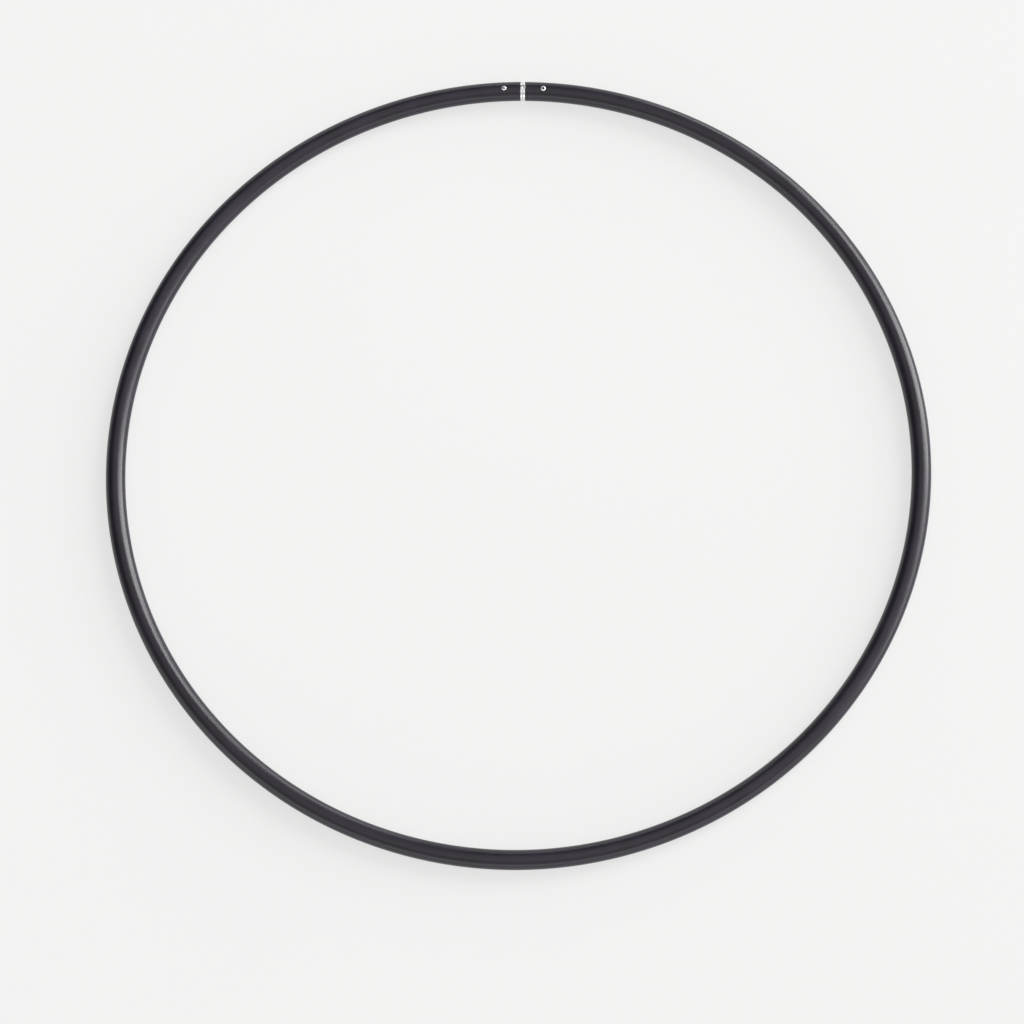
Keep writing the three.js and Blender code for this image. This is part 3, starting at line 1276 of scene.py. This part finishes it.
@dataclass
class Latch(SubAssembly):
    """The sprung button and the hairpin leaf that pushes it out.

    Attributes:
        radius: The button's radius.
        top: Its crown above the tube's axis at rest.
        shoulder: The radius of the shoulder that stops it under the insert.
        shoulder_top: The shoulder's top.
        shoulder_thickness: The shoulder's thickness.
        stub: The radius of the stub that sits in the leaf's hole.
        stub_bottom: The stub's lower end.
        dimple: The radius of the dimple in its crown.
        dimple_depth: The dimple's depth at its wall.
        dimple_point: How much deeper it is in its middle.
        rim: How far below the crown the button's side ends.
        crown: How far in from the side the flat crown starts.
        leaf_width: The leaf's width.
        leaf: The leaf's thickness.
        leaf_edge: How the leaf's long edges are rounded.
        leaf_hole: The radius of the hole for the stub.
        upper: The middle of the leaf's upper arm.
        lower: The middle of the leaf's lower arm.
        pad: Half the length of the flat under the button.
        tip: Where the fold ends, along the tube.
        bend: The arc from the flat into the slope.
        leaf_step: The longest straight stretch of the leaf.
        travel: How far the button goes in. Not used.
    """

    radius: float = 2.5 * MM
    top: float = 10.4 * MM
    shoulder: float = 3.4 * MM
    shoulder_top: float = 2.87 * MM
    shoulder_thickness: float = 1.0 * MM
    stub: float = 1.0 * MM
    stub_bottom: float = 0.97 * MM
    dimple: float = 0.9 * MM
    dimple_depth: float = 0.8 * MM
    dimple_point: float = 0.1 * MM
    rim: float = 0.3 * MM
    crown: float = 0.9 * MM
    leaf_width: float = 4.8 * MM
    leaf: float = 0.5 * MM
    leaf_edge: float = 0.12 * MM
    leaf_hole: float = 1.3 * MM
    upper: float = 1.32 * MM
    lower: float = -3.43 * MM
    pad: float = 4.0 * MM
    tip: float = -3.5 * MM
    bend: float = 3 * MM
    leaf_step: float = 0.6 * MM
    travel: float = 3.8 * MM

    def pieces(self) -> list[Outcome]:
        """Makes the latch.

        Returns:
            The button and the spring.
        """
        polished = UprightMetal(
            "polished_steel", "button_steel", (0.91, 0.905, 0.9),
            roughness=0.3, metallic=1.0, depth=1.2e-6,
            centre=self.space.place(Vector((self.along, 0, 0))), hollow=self.dimple, nicks=0.5, tarnish=0.12,
        )
        strip = RolledStrip(
            "rolled_spring_strip", "spring_steel", (0.45, 0.45, 0.46),
            roughness=0.32, metallic=1.0, depth=1.5e-6,
        )
        return [
            Outcome(self._button(), "snap_button", polished, Body.BUTTON),
            Outcome(self._spring(), "button_spring", strip),
        ]

    def build(self) -> list[bpy.types.Object]:
        """Builds the pieces, and gives the spring a mesh of its own.

        Returns:
            The pieces.
        """
        button, spring = super().build()
        anchor = Vector(spring.data.vertices[0].co)
        anchor.z = min(vertex.co.z for vertex in spring.data.vertices)
        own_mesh(spring)
        return [button, spring]

    @property
    def along(self) -> float:
        """The button's distance from the seam, less than 0 on the left."""
        return self.space.along("snap_button")

    def _button(self) -> bpy.types.Object:
        """Turns the button, with a crown that is eased all round and a dimple in its middle.

        Returns:
            The button.
        """
        under = self.shoulder_top - self.shoulder_thickness
        corners = [
            Corner(0, self.stub_bottom),
            Corner(self.stub, self.stub_bottom, 0.15 * MM),
            Corner(self.stub, under, 0.05 * MM),
            Corner(self.shoulder, under, 0.12 * MM),
            Corner(self.shoulder, self.shoulder_top, 0.12 * MM),
            Corner(self.radius, self.shoulder_top, 0.1 * MM),
            Corner(self.radius, self.top - self.rim, 0.42 * MM),
            Corner(self.radius - self.crown, self.top, 1.0 * MM),
            Corner(self.dimple, self.top, 0.12 * MM),
            Corner(0.8 * self.dimple, self.top - self.dimple_depth, 0.2 * MM),
            Corner(0, self.top - self.dimple_depth - self.dimple_point),
        ]
        button = upright("latch_button", corners, False, self.along, self.space)
        smooth(button)
        return button

    def _leaf_side(self) -> list[Corner]:
        """The leaf seen from its side: the flat under the button, the slope, the fold and the lower arm."""
        fold = (self.upper - self.lower) / 5
        return [
            Corner(self.along - self.pad, self.upper),
            Corner(self.along + self.pad, self.upper, self.bend),
            Corner(self.tip, self.lower + 2.15 * fold, fold),
            Corner(self.tip, self.lower, fold),
            Corner(self.along - 1.5 * self.pad, self.lower),
        ]

    def _spring(self) -> bpy.types.Object:
        """Folds the leaf like a hairpin, bends it with the tube and drills it for the button's stub.

        Returns:
            The spring.
        """
        line = split(rounded(self._leaf_side(), closed=False, steps=12), lambda x: self.leaf_step)
        half, edge = self.leaf / 2, self.leaf_width / 2
        outline = [(-half, -edge), (half, -edge), (half, edge), (-half, edge)]
        section = rounded([Corner(x, y, self.leaf_edge) for x, y in outline], closed=True, steps=3)
        points: list[Vector] = []
        for before, here, after in zip(line[:1] + line, line, line[1:] + line[-1:]):
            direction = (after - before).normalized()
            for thick, wide in section:
                across = here + Vector((-direction.y, direction.x)) * thick
                points.append(self.space.place(Vector((across.x, wide, across.y))))
        around = len(section)
        faces: Faces = [tuple(range(around)), tuple(range(len(points) - around, len(points)))]
        for row in range(len(line) - 1):
            for k in range(around):
                near, far = row * around, (row + 1) * around
                following = (k + 1) % around
                faces.append((near + k, near + following, far + following, far + k))
        spring = solid("hairpin_leaf", points, faces)
        above, below = self.upper + self.leaf, self.upper - self.leaf
        drill(spring, [punch(self.leaf_hole, below, above, self.along, self.space, sides=48)])
        smooth(spring)
        return spring


# ---------------------------------------------------------------- floor, light and camera


@dataclass(frozen=True)
class Floor:
    """A plain pale floor.

    Attributes:
        reach: How far it goes from the hoop, each way.
        colour: Its colour.
        roughness: Its roughness.
        glow: How brightly it is lit from behind, as a light table is, which keeps shadows on it pale.
    """

    reach: float = 14.0
    colour: Colour = (0.2, 0.2, 0.198)
    roughness: float = 0.5
    glow: float = 0.66

    def build(self) -> bpy.types.Object:
        """Lays the floor and dresses it.

        Returns:
            The floor.
        """
        mesh = bpy.data.meshes.new("floor")
        bounds = (-self.reach, self.reach)
        mesh.from_pydata([(x, y, 0) for y in bounds for x in bounds], [], [(0, 1, 3, 2)])
        floor = link("floor", mesh)
        material = bpy.data.materials.new("pale_floor")
        material.use_nodes = True
        graph = Graph(material.node_tree)
        point = graph.node("ShaderNodeTexCoord", None, None, "Object")
        cloud = graph.noise(point, 1.1, detail=3)
        sockets = {
            "Base Color": graph.mix(cloud.rise(0.35, 0.65), self.colour, shade(self.colour, 0.97)),
            "Roughness": self.roughness + (cloud - 0.5) * 0.1,
            "Emission Color": (1.0, 1.0, 0.995),
            "Emission Strength": self.glow,
            "Specular IOR Level": 0.0,
        }
        graph.close(sockets)
        mesh.materials.append(material)
        return floor


@dataclass(frozen=True)
class SoftBox:
    """A large rectangular soft light, aimed at the middle of the ring from beyond the floor's edge.

    Attributes:
        name: Its name.
        azimuth: Degrees round from +X towards +Y.
        elevation: Degrees above the floor.
        width: How wide it looks from the ring, in degrees.
        height: How high it looks from the ring, in degrees.
        radiance: How bright its face looks.
        distance: From the middle of the ring.
    """

    name: str
    azimuth: float
    elevation: float
    width: float
    height: float
    radiance: float
    distance: float = 24.0

    def build(self) -> bpy.types.Object:
        """Hangs the light.

        Returns:
            The light.
        """
        lamp = bpy.data.lights.new(self.name, "AREA")
        lamp.shape = "RECTANGLE"
        halves = (math.radians(angle) / 2 for angle in (self.width, self.height))
        lamp.size, lamp.size_y = (2 * self.distance * math.tan(half) for half in halves)
        lamp.energy = self.radiance * math.pi * lamp.size * lamp.size_y
        light = link(self.name, lamp)
        turned, raised = math.radians(self.azimuth), math.radians(self.elevation)
        level = math.cos(raised)
        away = Vector((math.cos(turned) * level, math.sin(turned) * level, math.sin(raised)))
        light.location = away * self.distance
        light.rotation_euler = (-away).to_track_quat("-Z", "Y").to_euler()
        light.visible_camera = False
        return light


@dataclass(frozen=True)
class Studio:
    """The room's soft light, its soft boxes, and the tone of the picture.

    Attributes:
        backdrop: What the camera sees past the floor.
        walls: How bright the near walls are, low down.
        ceiling: How bright the ceiling is.
        dimmest: How bright the room is at the least.
    """

    backdrop: Colour = (0.86, 0.86, 0.855)
    walls: float = 1.45
    ceiling: float = 0.75
    dimmest: float = 0.1

    def build(self) -> None:
        """Lights the scene."""
        self._room()
        for box in self._boxes():
            box.build()
            log.info("%s", box.name)
        bpy.context.scene.view_settings.view_transform = "Standard"

    def _boxes(self) -> list[SoftBox]:
        """A large window of light on the right and behind, with weaker boxes beside it."""
        # name, azimuth, elevation, width, height, radiance
        return [
            SoftBox("window_low", 28, 14, 28, 21, 10.0),
            SoftBox("window_high", 42, 38, 28, 23, 9.4),
            SoftBox("window_side", 15, 30, 19, 19, 3.2),
            SoftBox("right_box", -4, 13, 25, 19, 4.1),
            SoftBox("right_high_box", -15, 45, 23, 23, 1.2),
            SoftBox("back_right_box", 65, 13, 28, 19, 4.4),
            SoftBox("back_box", 105, 13, 33, 19, 1.6),
        ]

    def _room(self) -> None:
        """Makes the room: pale to the camera, and unevenly bright to everything else."""
        world = bpy.data.worlds.new("room")
        bpy.context.scene.world = world
        world.use_nodes = True
        graph = Graph(world.node_tree)
        direction = graph.node("ShaderNodeTexCoord", None, None, "Generated")
        y, z = (graph.node("ShaderNodeSeparateXYZ", None, {0: direction}, output) for output in (1, 2))
        near = y.rise(0.1, -0.6)
        low = z.rise(0.5, 0.15)
        level = self.dimmest + near * low * self.walls + near * 0.45 + z.rise(0.72, 0.98) * self.ceiling
        lit = graph.node("ShaderNodeBackground", None, {"Color": (1.0, 1.0, 1.0), "Strength": level})
        seen = graph.node("ShaderNodeBackground", None, {"Color": self.backdrop, "Strength": 1.0})
        from_camera = graph.node("ShaderNodeLightPath", None, None, "Is Camera Ray")
        shader = graph.node("ShaderNodeMixShader", None, {0: from_camera, 1: lit, 2: seen})
        graph.node("ShaderNodeOutputWorld", None, {"Surface": shader})


@dataclass(frozen=True)
class CameraRig:
    """A camera that looks at the hoop from above its near side.

    Attributes:
        azimuth: Degrees round from looking along +Y.
        elevation: Degrees above the horizon.
        roll: Degrees that the picture's top leans to the right.
        distance: From the aim to the lens.
        lens: The lens's focal length in millimetres.
        aim: Where it looks.
    """

    azimuth: float = 6.135
    elevation: float = 72.945
    roll: float = 5.55
    distance: float = 4.0854
    lens: float = 141.64
    aim: tuple[float, float, float] = (-0.00479, -0.05054, 0.01)

    def build(self) -> bpy.types.Object:
        """Sets the camera up and makes it the scene's.

        Returns:
            The camera.
        """
        turned, raised, leaned = (math.radians(angle) for angle in (self.azimuth, self.elevation, self.roll))
        level = math.cos(raised)
        back = Vector((math.sin(turned) * level, -math.cos(turned) * level, math.sin(raised)))
        beside = Vector((0, 0, 1)).cross(back).normalized()
        above = back.cross(beside)
        up = above * math.cos(leaned) + beside * math.sin(leaned)
        right = up.cross(back)
        place = Vector(self.aim) + back * self.distance
        data = bpy.data.cameras.new("camera")
        data.lens = self.lens
        camera = link("camera", data)
        camera.matrix_world = Matrix.Translation(place) @ Matrix((right, up, back)).transposed().to_4x4()
        bpy.context.scene.camera = camera
        return camera


# ---------------------------------------------------------------- all of it


def main() -> None:
    """Builds the camera, the hoop's sub-assemblies, the floor and the light, in that order."""
    logging.basicConfig(level=logging.INFO, format="%(name)s: %(message)s")
    CameraRig().build()
    space = RingSpace.from_frame()
    for kind in (Tube, Ferrules, Insert, Rivet, Latch):
        kind(space).build()
    Floor().build()
    Studio().build()


if __name__ == "__main__":
    main()
